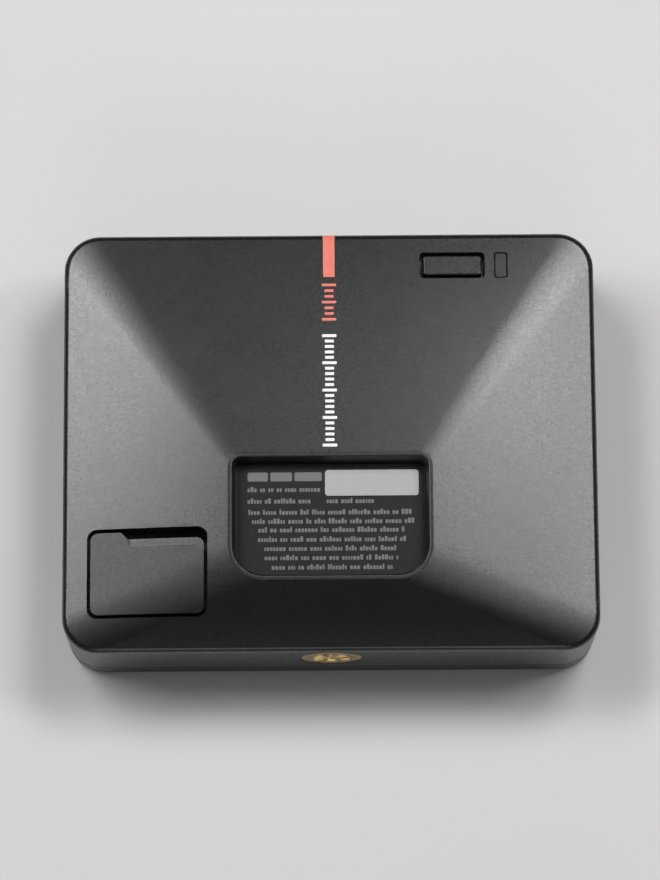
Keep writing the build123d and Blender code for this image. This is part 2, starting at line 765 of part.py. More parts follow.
def battery_cell():
    cell = prism(-31, 31, -20.5, 23.0, CELL_Z0, CELL_Z1, 1.6)
    return rounded_edges(cell, edges_at(cell, CELL_Z0, CELL_Z1), (1.0, 0.8, 0.5))


def battery_protection_board():
    """Board on the cell's right end, with two components on it."""
    board = block(31.1, 31.7, -18.0, 18.0, 9.1, 12.3)
    board = board + block(31.7, 32.6, -16.5, -9.5, 9.4, 12.0)
    return board + block(31.7, 32.5, -2.0, 3.0, 9.8, 11.6)


def battery_lead(y):
    """Wire from the protection board round the main board's edge to the plug."""
    x0, z0 = 32.7, 10.7
    path = Wire(hairpin(y, x0, 38.9, z0, 15.8, r=1.3, x_end=36.15))
    section = Plane(origin=(x0, y, z0), z_dir=(1, 0, 0)) * Circle(LEAD_R)
    return sweep(section, path=path)


def battery_socket():
    body = block(29.2, 32.66, -17.6, -10.2, MAIN_SEAT, 17.5)
    return body - block(30.2, 33, -16.9, -10.9, 15.0, 17.1)


write(battery_cell(), "battery_cell")
write(battery_protection_board(), "battery_protection_board")
write(prism(-29.5, 29.5, -19.5, -14.6, 8.22, 8.47, 0.8), "battery_adhesive")
write(prism(-22, 22, -12, 14, 12.94, 13.36, 1.5), "battery_foam")
write(battery_lead(-12.6), "battery_lead_positive")
write(battery_lead(-15.2), "battery_lead_negative")
write(prism(32.72, 36.1, -17.0, -10.8, 14.62, 17.0, 0.3), "battery_plug")
write(battery_socket(), "battery_socket")

# ------------------------------------------------------------------ main board
# per piece: centre x, centre y, width, height, top z, corner radius
MAIN_COMPONENTS = {
    "processor": [(10, 6, 9, 9, 15.5, 0.2)],
    "memory_chip": [(-2.5, 6, 8, 6, 15.3, 0.2)],
    "bluetooth_module": [(-30, 19.5, 12, 11, 16.3, 0.5)],
    "charger_chip": [(-16, -12, 4, 4, 15.25, 0.1)],
    "level_sensor": [(0, 16, 3, 3, 15.35, 0.1)],
    "crystal": [(18.5, 10, 3.2, 2.5, 15.2, 0.3)],
    "power_inductors": [
        (-10.5, -12, 3.4, 3.4, 16.1, 0.5),
        (-10.5, -17, 3.4, 3.4, 16.1, 0.5),
        (8, -15, 4.0, 4.0, 16.4, 0.6),
    ],
    "tantalum_capacitors": [
        (x, y, 3.5, 2.8, 16.3, 0.2) for x, y in ((-16, -18), (15, -14), (15, -18.5), (22, -8))
    ],
}
# first x, first y, x step, y step, count
MAIN_CHIP_ROWS = [
    (5.5, 13.2, 1.8, 0, 6),
    (5.5, -1.0, 1.8, 0, 6),
    (-9.6, 2.5, 0, 1.8, 5),
    (16.6, 1.5, 0, 1.6, 5),
    (-22.0, 12.0, 1.8, 0, 4),
    (-20.5, 16, 0, 1.9, 4),
    (-21.0, -6, 0, -1.8, 4),
    (24.5, 18.5, 1.9, 0, 4),
]


def main_board():
    board = centred(0, 0, BOARD_W, BOARD_H, MAIN_Z0, MAIN_Z1, BOARD_R)
    # cut-outs for the insert boss and the battery leads
    for rect in ((-7.6, 7.6, -31, -24.3), (37.2, 41, -18.0, -9.8)):
        board = board - block(*rect, 10, 20)
    return drilled(board, FRAME_SCREWS, 10, 20, SCREW_CLEAR_R)


def chip_passives():
    chips = []
    for row in MAIN_CHIP_ROWS:
        chips += chip_row(*row, MAIN_SEAT, 14.8)
    return group(chips)


write(main_board(), "main_board")
for name, places in MAIN_COMPONENTS.items():
    write(
        group([centred(x, y, w, h, MAIN_SEAT, top, r) for x, y, w, h, top, r in places]),
        name,
    )
write(chip_passives(), "chip_passives")


# ------------------------------------------------------------------ screws
def screw(x, y, head_z, head_h, head_r, shank_top, shank_r, slot):
    """Screw with its cross-slotted head towards the front."""
    body = rod(x, y, head_z, head_z + head_h, head_r)
    body = rounded_edges(body, edges_at(body, head_z), (0.35, 0.2))
    body = body + rod(x, y, head_z + head_h - 0.1, shank_top, shank_r)
    for w, h in ((slot, slot * 0.3), (slot * 0.3, slot)):
        body = body - centred(x, y, w, h, head_z - 1, head_z + head_h * 0.62)
    return body


def screws(places, **sizes):
    return group([screw(x, y, **sizes) for x, y in places])


write(
    screws(
        FRAME_SCREWS,
        head_z=6.25, head_h=1.1, head_r=1.9, shank_top=18.8, shank_r=0.98, slot=2.0,
    ),
    "frame_screws",
)
write(
    screws(
        ANT_SCREWS,
        head_z=2.93, head_h=0.85, head_r=1.5, shank_top=7.6, shank_r=0.62, slot=1.5,
    ),
    "antenna_board_screws",
)
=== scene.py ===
# A small device housing lying back up on a floor: X runs across it, +Y is its scale end and +Z
# points out of the back. Printed marks, a threaded brass insert and a rubber strap are added
# to the CAD pieces. Lengths are in mm and turned into metres with MM, unless a comment says so.
import json
import math
import random

import bmesh
import bpy
from mathutils import Matrix, Vector
from mathutils.bvhtree import BVHTree


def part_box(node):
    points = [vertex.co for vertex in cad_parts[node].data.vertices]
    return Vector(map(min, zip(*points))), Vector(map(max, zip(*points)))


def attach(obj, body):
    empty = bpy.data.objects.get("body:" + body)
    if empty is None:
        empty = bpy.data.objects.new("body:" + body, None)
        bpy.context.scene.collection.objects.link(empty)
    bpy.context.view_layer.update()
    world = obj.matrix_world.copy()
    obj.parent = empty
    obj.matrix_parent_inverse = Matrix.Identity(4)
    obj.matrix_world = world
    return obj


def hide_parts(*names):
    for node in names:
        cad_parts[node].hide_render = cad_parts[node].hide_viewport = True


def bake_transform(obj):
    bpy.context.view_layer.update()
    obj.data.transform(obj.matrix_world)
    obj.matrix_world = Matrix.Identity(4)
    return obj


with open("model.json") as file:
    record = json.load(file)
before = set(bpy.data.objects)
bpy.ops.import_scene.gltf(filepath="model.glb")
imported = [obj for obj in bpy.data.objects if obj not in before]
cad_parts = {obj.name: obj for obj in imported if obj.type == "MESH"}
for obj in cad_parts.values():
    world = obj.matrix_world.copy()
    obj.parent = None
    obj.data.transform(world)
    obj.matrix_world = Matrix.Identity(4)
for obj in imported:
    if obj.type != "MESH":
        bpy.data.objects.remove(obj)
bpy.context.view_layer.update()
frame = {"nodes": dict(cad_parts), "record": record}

MM = 0.001
nodes = frame["nodes"]
scene = bpy.context.scene


# ------------------------------------------------------------------ node helpers
class Net:
    """One material's node tree, with short ways to add nodes to it."""

    def __init__(self, name):
        self.material = bpy.data.materials.new(name)
        self.material.use_nodes = True
        self.tree = self.material.node_tree
        self.tree.nodes.clear()
        self.output = self.node("ShaderNodeOutputMaterial")
        self.bsdf = self.node("ShaderNodeBsdfPrincipled")
        self.put(self.output.inputs["Surface"], self.bsdf.outputs[0])
        self.coord = self.node("ShaderNodeTexCoord").outputs["Object"]

    def put(self, socket, value):
        """Link a socket to an input, or set the input to a plain value."""
        if isinstance(value, bpy.types.NodeSocket):
            self.tree.links.new(value, socket)
        else:
            socket.default_value = value

    def feed(self, key, value):
        """Put a value into the Principled shader."""
        self.put(self.bsdf.inputs[key], value)

    def node(self, kind, inputs=None, **props):
        node = self.tree.nodes.new(kind)
        for key, value in props.items():
            setattr(node, key, value)
        for key, value in (inputs or {}).items():
            self.put(node.inputs[key], value)
        return node

    def mapped(self, scale=(1, 1, 1), rotation=(0, 0, 0)):
        inputs = {"Vector": self.coord, "Scale": scale, "Rotation": rotation}
        return self.node("ShaderNodeMapping", inputs).outputs[0]

    def noise(self, size_mm, detail=2.0, rough=0.5, seed=0.0, vector=None):
        inputs = {
            "Vector": vector or self.coord,
            "W": seed,
            "Scale": 1.0 / (size_mm * MM),
            "Detail": detail,
            "Roughness": rough,
        }
        return self.node("ShaderNodeTexNoise", inputs, noise_dimensions="4D").outputs["Fac"]

    def cells(self, size_mm, seed):
        inputs = {"Vector": self.coord, "W": seed, "Scale": 1.0 / (size_mm * MM)}
        props = {"voronoi_dimensions": "4D", "feature": "F1"}
        return self.node("ShaderNodeTexVoronoi", inputs, **props).outputs["Distance"]

    def ramp(self, value, lo, hi, out=(0.0, 1.0)):
        """Carry lo..hi over to the out range, clamped."""
        inputs = {
            "Value": value,
            "From Min": lo,
            "From Max": hi,
            "To Min": out[0],
            "To Max": out[1],
        }
        return self.node("ShaderNodeMapRange", inputs, clamp=True).outputs[0]

    def calc(self, operation, first, second=0.0, third=0.0):
        inputs = {0: first, 1: second, 2: third}
        return self.node("ShaderNodeMath", inputs, operation=operation).outputs[0]

    def weigh(self, main, rest):
        """Sum of two patterns, the first a little stronger."""
        return self.calc(
            "ADD", self.calc("MULTIPLY", main, 0.6), self.calc("MULTIPLY", rest, 0.4)
        )

    def mix(self, factor, low, high):
        node = self.node("ShaderNodeMix", {"Factor": factor}, data_type="RGBA")
        for key, colour in (("A", low), ("B", high)):
            socket = next(i for i in node.inputs if i.name == key and i.type == "RGBA")
            self.put(socket, (*colour, 1.0) if isinstance(colour, tuple) else colour)
        return next(o for o in node.outputs if o.type == "RGBA")

    def edge(self, radius_mm):
        """1 on edges and corners, 0 on open faces."""
        bevel = self.node("ShaderNodeBevel", {"Radius": radius_mm * MM}, samples=4)
        normal = self.node("ShaderNodeNewGeometry").outputs["Normal"]
        dot = self.node(
            "ShaderNodeVectorMath", {0: bevel.outputs[0], 1: normal}, operation="DOT_PRODUCT"
        )
        return self.ramp(self.calc("SUBTRACT", 1.0, dot.outputs["Value"]), lo=0.004, hi=0.10)

    def bump(self, height, depth_mm):
        inputs = {"Strength": 1.0, "Distance": depth_mm * MM, "Height": height}
        self.feed("Normal", self.node("ShaderNodeBump", inputs).outputs[0])


def shade(colour, factor):
    return tuple(max(0.0, min(1.0, x * factor)) for x in colour)


# ------------------------------------------------------------------ materials
def nail_zone(net, y_min, slope, limit):
    """1 past y_min where z - slope * x is under the limit (metres)."""
    xyz = net.node("ShaderNodeSeparateXYZ", {0: net.coord}).outputs
    depth = net.calc("MULTIPLY_ADD", xyz["X"], -slope, xyz["Z"])
    return net.calc(
        "MULTIPLY",
        net.ramp(xyz["Y"], lo=y_min - 0.0002, hi=y_min + 0.0002),
        net.ramp(depth, lo=limit - 0.0001, hi=limit + 0.0001, out=(1.0, 0.0)),
    )


def well_zone(net, x, y, radius, y_max):
    """1 inside a plan box up to y_max, its low-Y corners round about (+-x, y) (metres)."""
    xyz = net.node("ShaderNodeSeparateXYZ", {0: net.coord}).outputs
    beyond_x = net.calc("SUBTRACT", net.calc("ABSOLUTE", xyz["X"]), x)
    beyond_x = net.calc("MAXIMUM", beyond_x, 0.0)
    beyond_y = net.calc("MAXIMUM", net.calc("SUBTRACT", y, xyz["Y"]), 0.0)
    square_y = net.calc("MULTIPLY", beyond_y, beyond_y)
    away = net.calc("SQRT", net.calc("MULTIPLY_ADD", beyond_x, beyond_x, square_y))
    return net.calc(
        "MULTIPLY",
        net.ramp(away, lo=radius - 0.00005, hi=radius, out=(1.0, 0.0)),
        net.ramp(xyz["Y"], lo=y_max, hi=y_max + 0.0001, out=(1.0, 0.0)),
    )


def moulded(
    name, base, rough, grain_mm, grain_depth, mottle, wear, spec, seed,
    sheen=0.0, speckle=0.10, nail=None, nail_spec=None,
    well=None, well_spec=None, well_rough=None,
):
    """Moulded plastic or rubber with a spark-eroded grain.

    mottle: how much the tone varies; wear: how much edges lighten;
    speckle: how much the grain varies the specular level.
    nail: place polished by finger nails; well: place where the mould was left duller.
    """
    net = Net(name)
    broad = net.noise(size_mm=9.0, detail=3, rough=0.6, seed=seed)
    middle = net.noise(size_mm=1.3, seed=seed + 3)
    fine = net.noise(grain_mm, detail=1.5, rough=0.55, seed=seed + 7)
    pits = net.cells(grain_mm * 1.9, seed + 11)

    tone = net.weigh(broad, middle)
    colour = net.mix(
        net.ramp(tone, lo=0.35, hi=0.65), shade(base, 1 - mottle), shade(base, 1 + mottle)
    )
    grain = net.ramp(fine, lo=0.3, hi=0.7, out=(0.0, 0.5))
    colour = net.mix(grain, colour, shade(base, factor=0.72))
    edge = net.edge(radius_mm=0.32)
    patches = net.noise(size_mm=0.9, detail=3, rough=0.6, seed=seed + 5)
    worn = net.calc("MULTIPLY", edge, net.ramp(patches, lo=0.42, hi=0.62))
    colour = net.mix(net.calc("MULTIPLY", worn, wear), colour, shade(base, factor=2.6))
    net.feed("Base Color", colour)

    # the tone and grain vary the roughness; worn edges are smoother
    gloss = net.calc("ADD", rough, net.ramp(tone, lo=0.3, hi=0.7, out=(-0.010, 0.012)))
    gloss = net.calc("ADD", gloss, net.ramp(fine, lo=0.3, hi=0.7, out=(-0.02, 0.02)))
    gloss = net.calc("SUBTRACT", gloss, net.calc("MULTIPLY", worn, 0.10))
    level = spec
    if nail:
        level = net.ramp(nail_zone(net, **nail), lo=0, hi=1, out=(spec, nail_spec))
    if well:
        inside = well_zone(net, **well)
        level = net.ramp(inside, lo=0, hi=1, out=(spec, well_spec))
        duller = net.ramp(inside, lo=0, hi=1, out=(0.0, well_rough - rough))
        gloss = net.calc("ADD", gloss, duller)
    net.feed("Roughness", gloss)

    fleck = net.noise(grain_mm * 1.5, detail=2, rough=0.65, seed=seed + 17)
    fleck = net.ramp(fleck, lo=0.25, hi=0.75, out=(1 - speckle, 1 + speckle))
    net.feed("Specular IOR Level", net.calc("MULTIPLY", level, fleck))
    if sheen:
        net.feed("Sheen Weight", sheen)
        net.feed("Sheen Roughness", 0.5)
    net.bump(net.weigh(fine, pits), grain_depth)
    return net.material


def metal(name, base, rough, brushed, tarnish, seed):
    """Bare metal, stained in patches; brushed draws the fine lines out along Y."""
    net = Net(name)
    stain = net.noise(size_mm=2.4, detail=4, rough=0.6, seed=seed)
    colour = net.mix(net.ramp(stain, lo=0.4, hi=0.7), base, shade(base, 1 - tarnish))
    edge = net.edge(radius_mm=0.18)
    colour = net.mix(net.calc("MULTIPLY", edge, 0.5), colour, shade(base, factor=1.25))
    net.feed("Base Color", colour)
    net.feed("Metallic", 1.0)
    vector = net.mapped(scale=(1.0, 0.06, 1.0)) if brushed else None
    lines = net.noise(size_mm=0.10, detail=3, rough=0.6, seed=seed + 2, vector=vector)
    streaks = net.ramp(lines, lo=0.3, hi=0.7, out=(-0.06, 0.09))
    net.feed("Roughness", net.calc("ADD", rough, streaks))
    net.bump(lines, depth_mm=0.003)
    return net.material


def laminate(name, base, seed):
    """Circuit board: solder mask over tracks, seen as slightly raised lighter lines."""
    net = Net(name)
    inputs = {
        "Vector": net.mapped(rotation=(0, 0, 0.785)),
        "Scale": 1 / (1.1 * MM),
        "Mortar Size": 0.06,
    }
    tracks = net.node("ShaderNodeTexBrick", inputs).outputs["Fac"]
    areas = net.noise(size_mm=7, detail=1, seed=seed)
    mask = net.calc("MULTIPLY", tracks, net.ramp(areas, lo=0.48, hi=0.52))
    tone = net.noise(size_mm=4, detail=3, rough=0.6, seed=seed + 1)
    colour = net.mix(net.ramp(tone, lo=0.4, hi=0.6), base, shade(base, factor=0.8))
    net.feed("Base Color", net.mix(mask, colour, shade(base, factor=1.6)))
    gloss = net.noise(size_mm=0.6, seed=seed + 2)
    net.feed("Roughness", net.ramp(gloss, lo=0.3, hi=0.7, out=(0.26, 0.38)))
    net.bump(mask, depth_mm=0.02)
    return net.material


# name, base colour, roughness, grain size mm, grain depth mm, mottle, wear, specular, seed
MOULDED = (
    ("housing_plastic", (0.0049, 0.0049, 0.0051), 0.280, 0.28, 0.0025, 0.10, 0.10, 0.59, 1),
    ("cover_plastic", (0.0060, 0.0060, 0.0062), 0.34, 0.20, 0.006, 0.10, 0.20, 0.46, 2),
    ("stripe_red", (0.76, 0.180, 0.133), 0.42, 0.20, 0.006, 0.05, 0.1, 0.5, 3),
    ("label_film", (0.0058, 0.0058, 0.0060), 0.42, 0.12, 0.003, 0.08, 0.1, 0.21, 4),
    ("sticker_vinyl", (0.385, 0.385, 0.385), 0.46, 0.14, 0.004, 0.05, 0.05, 0.45, 5),
    ("port_rubber", (0.0060, 0.0060, 0.0060), 0.38, 0.28, 0.004, 0.10, 0.15, 0.47, 6),
    ("seal_silicone", (0.07, 0.07, 0.075), 0.52, 0.18, 0.006, 0.10, 0.1, 0.4, 7),
    ("light_guide", (0.012, 0.012, 0.012), 0.30, 0.5, 0.003, 0.06, 0.1, 0.46, 8),
    ("chip_epoxy", (0.018, 0.018, 0.020), 0.48, 0.10, 0.005, 0.10, 0.2, 0.45, 9),
    ("component_tan", (0.45, 0.33, 0.20), 0.45, 0.10, 0.004, 0.12, 0.2, 0.5, 10),
    ("tantalum_body", (0.62, 0.38, 0.05), 0.40, 0.12, 0.004, 0.10, 0.2, 0.5, 11),
    ("ferrite_grey", (0.11, 0.11, 0.12), 0.55, 0.10, 0.010, 0.15, 0.3, 0.4, 12),
    ("thermal_gel", (0.36, 0.44, 0.54), 0.60, 0.30, 0.012, 0.10, 0.1, 0.4, 13),
    ("foam_black", (0.03, 0.03, 0.032), 0.85, 0.35, 0.060, 0.20, 0.1, 0.2, 14),
    ("tape_white", (0.78, 0.78, 0.75), 0.50, 0.25, 0.006, 0.06, 0.1, 0.45, 15),
    ("lead_red", (0.55, 0.02, 0.015), 0.38, 0.20, 0.004, 0.08, 0.1, 0.5, 16),
    ("lead_black", (0.016, 0.016, 0.017), 0.38, 0.20, 0.004, 0.08, 0.1, 0.5, 17),
    ("connector_nylon", (0.72, 0.68, 0.58), 0.42, 0.15, 0.004, 0.08, 0.15, 0.5, 18),
    ("flex_polyimide", (0.50, 0.22, 0.03), 0.28, 0.30, 0.004, 0.12, 0.1, 0.55, 19),
    ("frame_plastic", (0.075, 0.075, 0.080), 0.55, 0.20, 0.012, 0.14, 0.2, 0.45, 20),
    ("lamp_epoxy", (0.80, 0.78, 0.66), 0.25, 0.20, 0.002, 0.05, 0.1, 0.5, 21),
    ("mark_white", (0.84, 0.84, 0.83), 0.45, 0.16, 0.004, 0.04, 0.05, 0.45, 31),
    ("label_ink", (0.130, 0.130, 0.130), 0.42, 0.12, 0.003, 0.05, 0.05, 0.5, 32),
)
# further arguments of some moulded materials; places are in metres
MOULDED_EXTRAS = {
    "housing_plastic": dict(
        speckle=0.19,
        well=dict(x=0.01110, y=-0.01840, radius=0.00545, y_max=-0.00325),
        well_spec=0.56,
        well_rough=0.42,
    ),
    "port_rubber": dict(
        speckle=0.26,
        nail=dict(y_min=-0.0200, slope=0.1527, limit=0.02779),
        nail_spec=0.60,
    ),
    "seal_silicone": dict(sheen=0.1),
}
# name, base colour, roughness, brushed, tarnish, seed
METALS = (
    ("insert_brass", (0.78, 0.57, 0.28), 0.26, False, 0.25, 22),
    ("screw_steel", (0.56, 0.56, 0.57), 0.30, False, 0.30, 23),
    ("shield_tin", (0.70, 0.70, 0.70), 0.34, True, 0.15, 24),
    ("antenna_copper", (0.86, 0.60, 0.30), 0.34, False, 0.15, 25),
    ("contact_gold", (0.90, 0.68, 0.30), 0.24, False, 0.10, 26),
    ("cell_foil", (0.72, 0.73, 0.75), 0.42, False, 0.10, 27),
)
# name, base colour, seed
LAMINATES = (
    ("antenna_laminate", (0.03, 0.13, 0.07), 28),
    ("board_laminate", (0.015, 0.10, 0.05), 29),
)
MATERIALS = {row[0]: moulded(*row, **MOULDED_EXTRAS.get(row[0], {})) for row in MOULDED}
MATERIALS.update({row[0]: metal(*row) for row in METALS})
MATERIALS.update({row[0]: laminate(*row) for row in LAMINATES})

slot_of = {part["node"]: part["material_slot"] for part in frame["record"]["subparts"]}
for name, piece in nodes.items():
    material = MATERIALS[slot_of[name]]
    if not piece.material_slots:
        piece.data.materials.append(material)
    for material_slot in piece.material_slots:
        material_slot.material = material


# ------------------------------------------------------------------ mesh helpers
def add_object(name, mesh, material, body="housing", smooth=False):
    data = bpy.data.meshes.new(name)
    bmesh.ops.recalc_face_normals(mesh, faces=mesh.faces[:])
    mesh.to_mesh(data)
    mesh.free()
    data.materials.append(MATERIALS[material])
    for polygon in data.polygons:
        polygon.use_smooth = smooth
    added = bpy.data.objects.new(name, data)
    scene.collection.objects.link(added)
    if body:
        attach(added, body)
    return added


def join(mesh, first, second):
    """Band of quads between two closed loops of equal count."""
    for k in range(len(first)):
        j = (k + 1) % len(first)
        mesh.faces.new((first[k], first[j], second[j], second[k]))


PAD_SINK = 0.03  # how far a printed pad reaches below its surface


def pad(mesh, x0, x1, y0, y1, z_of, thick, corner=0.08, steps=3):
    """Closed thin printed pad with rounded corners, following z_of(x, y)."""
    corner = min(corner, (x1 - x0) * 0.48, (y1 - y0) * 0.48)
    points = []
    for centre_x, centre_y, start in (
        (x1 - corner, y0 + corner, 270),
        (x1 - corner, y1 - corner, 0),
        (x0 + corner, y1 - corner, 90),
        (x0 + corner, y0 + corner, 180),
    ):
        for i in range(steps + 1):
            angle = math.radians(start + 90 * i / steps)
            points.append(
                (centre_x + corner * math.cos(angle), centre_y + corner * math.sin(angle))
            )
    low, high = (
        [mesh.verts.new((x * MM, y * MM, (z_of(x, y) + rise) * MM)) for x, y in points]
        for rise in (-PAD_SINK, thick)
    )
    mesh.faces.new(high)
    mesh.faces.new(low[::-1])
    join(mesh, low, high)


# ------------------------------------------------------------------ printed scale on the back
housing_data = nodes["rear_housing"].data
back_tree = BVHTree.FromPolygons(
    [vertex.co.copy() for vertex in housing_data.vertices],
    [tuple(polygon.vertices) for polygon in housing_data.polygons],
)
RAY_START_Z = 0.06  # metres, above the whole housing
TICK_LONG, TICK_SHORT = 2.4, 1.5


def back_z(x, y):
    """Height of the housing's back at a point."""
    hit = back_tree.ray_cast(Vector((x * MM, y * MM, RAY_START_Z)), Vector((0, 0, -1)))
    return hit[0].z / MM


def scale_ticks(first, end, pitch, height, long_every):
    """Ticks across X; first and end are distances from the housing's +Y end."""
    housing_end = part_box("rear_housing")[1].y / MM
    mesh = bmesh.new()
    y, i = housing_end - first, 0
    while y > housing_end - end:
        width = TICK_LONG if i % long_every == 0 else TICK_SHORT
        pad(mesh, -width / 2, width / 2, y - height, y, back_z, thick=0.02)
        y -= pitch
        i += 1
    return mesh


ticks = scale_ticks(first=8.9, end=15.4, pitch=1.02, height=0.46, long_every=3)
add_object("scale_ticks_red", ticks, "stripe_red")
ticks = scale_ticks(first=17.9, end=37.0, pitch=0.955, height=0.50, long_every=5)
add_object("scale_ticks_white", ticks, "mark_white")

# ------------------------------------------------------------------ rating label print
HEADING_Y = (-7.0, -5.5)
HEADING_BARS = ((-13.73, -10.35), (-9.95, -6.35), (-5.95, -1.4))  # x from, x to
# y of the row's centre, then (x from, x to) of each span of text
TEXT_ROWS = (
    (-8.50, [(-13.74, -1.45)]),
    (-10.45, [(-13.74, -3.17), (-0.62, 7.59)]),
    (-12.35, [(-13.59, 14.2)]),
    (-13.87, [(-13.01, 13.9)]),
    (-15.32, [(-11.97, 12.34)]),
    (-16.92, [(-12.03, 12.64)]),
    (-18.46, [(-10.98, 11.63)]),
    (-20.01, [(-10.94, 11.51)]),
    (-21.61, [(-9.77, 10.24)]),
)
WORD_LENGTHS = (2, 3, 4, 5, 6, 7)
LETTER_WIDTHS = (0.30, 0.40, 0.46)
LOW_LETTER, TALL_LETTER = 0.62, 0.88
LETTER_GAP = 0.13
WORD_GAP = 0.42  # added after the last letter's gap
MIN_WORD_ROOM = 0.5


def label_print():
    rng = random.Random(4)
    label_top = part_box("rating_label")[1].z / MM
    mesh = bmesh.new()

    def label_z(_x, _y):
        return label_top

    def text_span(x, x_end, bottom):
        while x < x_end - MIN_WORD_ROOM:
            for _ in range(rng.choice(WORD_LENGTHS)):
                width = rng.choice(LETTER_WIDTHS)
                if x + width > x_end:
                    break
                # one letter in four is tall
                height = rng.choice((LOW_LETTER, LOW_LETTER, LOW_LETTER, TALL_LETTER))
                pad(
                    mesh, x, x + width, bottom, bottom + height, label_z,
                    thick=0.015, corner=0.07, steps=2,
                )
                x += width + LETTER_GAP
            x += WORD_GAP

    for x0, x1 in HEADING_BARS:
        pad(mesh, x0, x1, *HEADING_Y, label_z, thick=0.02, corner=0.25)
    for y, spans in TEXT_ROWS:
        for x0, x1 in spans:
            text_span(x0, x1, y - LOW_LETTER / 2)
    return mesh


add_object("label_print", label_print(), "label_ink")

# ------------------------------------------------------------------ threaded stand insert
# Its axis runs along Y, with the open face at the low-Y end.
THREAD_MINOR, THREAD_MAJOR, THREAD_PITCH = 2.56, 3.12, 1.27  # radii, then pitch
THREAD_START, THREAD_END = 0.08, 7.7  # from the face
THREAD_FADE = 1.0  # length over which the thread runs out
LEAD_RADIUS = 3.34  # mouth of the 45 degree lead-in
THREAD_STEPS = 92
RING_POINTS = 96
KNURL_RADIUS, KNURL_DEPTH, KNURL_TEETH = 4.6, 0.10, 32
GROOVE_RADIUS = 4.2


def knurl(angle):
    return KNURL_RADIUS - KNURL_DEPTH * (0.5 + 0.5 * math.cos(KNURL_TEETH * angle))


# distance from the back end, radius
INSERT_BACK = ((0, GROOVE_RADIUS), (0.3, 4.5), (0.35, knurl))
# distance from the face, radius: two turned grooves, the flange, then in to the bore
INSERT_FRONT = (
    (6.6, knurl), (6.5, GROOVE_RADIUS), (5.6, GROOVE_RADIUS), (5.5, knurl),
    (3.5, knurl), (3.4, GROOVE_RADIUS), (2.6, GROOVE_RADIUS), (2.5, knurl),
    (1.1, knurl), (1.0, 4.55), (0.98, 4.95), (0.93, 5.08), (0.85, 5.1), (0.18, 5.1),
    (0.05, 5.05), (0.01, 4.92), (0, 4.80), (0, 4.2), (0, 3.45), (0.02, 3.36),
)


def thread_insert():
    low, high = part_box("stand_insert")
    axis_z = (low.z + high.z) / 2 / MM
    face, back_end = low.y / MM, high.y / MM
    thread_start, thread_end = face + THREAD_START, face + THREAD_END
    mesh = bmesh.new()

    def ring(y, radius_of):
        """Circle at y; radius_of is a radius or a function of the angle."""
        verts = []
        for k in range(RING_POINTS):
            angle = 2 * math.pi * k / RING_POINTS
            radius = radius_of(angle) if callable(radius_of) else radius_of
            x, z = radius * math.cos(angle), axis_z + radius * math.sin(angle)
            verts.append(mesh.verts.new((x * MM, y * MM, z * MM)))
        return verts

    def bore(y):
        def radius_of(angle):
            turn = ((y - face) / THREAD_PITCH - angle / (2 * math.pi)) % 1.0
            wave = 1 - abs(2 * turn - 1)  # 0 crest, 1 root
            # clipping the wave leaves flats at crest and root
            depth = min(1.0, max(0.0, (wave - 0.12) / 0.76)) * (THREAD_MAJOR - THREAD_MINOR)
            fade = min(1.0, (thread_end - y) / THREAD_FADE)
            lead = max(0.0, LEAD_RADIUS - (y - thread_start))
            return max(THREAD_MINOR + depth * fade, lead)

        return radius_of

    rings = [ring(back_end - distance, radius) for distance, radius in INSERT_BACK]
    rings += [ring(face + distance, radius) for distance, radius in INSERT_FRONT]
    for i in range(THREAD_STEPS + 1):
        y = thread_start + (thread_end - thread_start) * i / THREAD_STEPS
        rings.append(ring(y, bore(y)))
    # plain bore and the chamfer at its blind end
    rings.append(ring(face + 8.4, THREAD_MINOR))
    rings.append(ring(face + 8.56, THREAD_MINOR - 0.15))
    for first, second in zip(rings, rings[1:]):
        join(mesh, first, second)
    mesh.faces.new(rings[-1])
    mesh.faces.new(rings[0][::-1])
    return mesh


insert = add_object(
    "threaded_insert", thread_insert(), "insert_brass", smooth=True
)
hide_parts("stand_insert")
insert.data.set_sharp_from_angle(angle=math.radians(28))

# ------------------------------------------------------------------ rubber strap to the cap
# centre line as x, z: up from the tether block to the cap's underside beside the hinge
STRAP_LINE = (
    (-37.6, 19.62), (-38.2, 19.64), (-38.7, 19.70), (-39.05, 19.84),
    (-39.2, 20.02), (-39.1, 20.18), (-38.8, 20.27), (-38.3, 20.33),
)
STRAP_SPLITS = 6  # points per stretch of the centre line
STRAP_HALF_WIDTH = 2.6  # along Y, without the round edge
STRAP_HALF_THICK = 0.17
STRAP_EDGE_POINTS = 12
tether_low, tether_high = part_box("cap_tether")
strap_y = (tether_low.y + tether_high.y) / 2  # metres


def smooth_line(line):
    """Catmull-Rom curve through the points."""
    points = []
    for i in range(len(line) - 1):
        before, start, end = line[max(i - 1, 0)], line[i], line[i + 1]
        after = line[min(i + 2, len(line) - 1)]
        for k in range(STRAP_SPLITS):
            t = k / STRAP_SPLITS
            points.append(
                tuple(
                    0.5
                    * (
                        2 * p1
                        + (p2 - p0) * t
                        + (2 * p0 - 5 * p1 + 4 * p2 - p3) * t * t
                        + (3 * p1 - p0 - 3 * p2 + p3) * t**3
                    )
                    for p0, p1, p2, p3 in zip(before, start, end, after)
                )
            )
    points.append(line[-1])
    return points


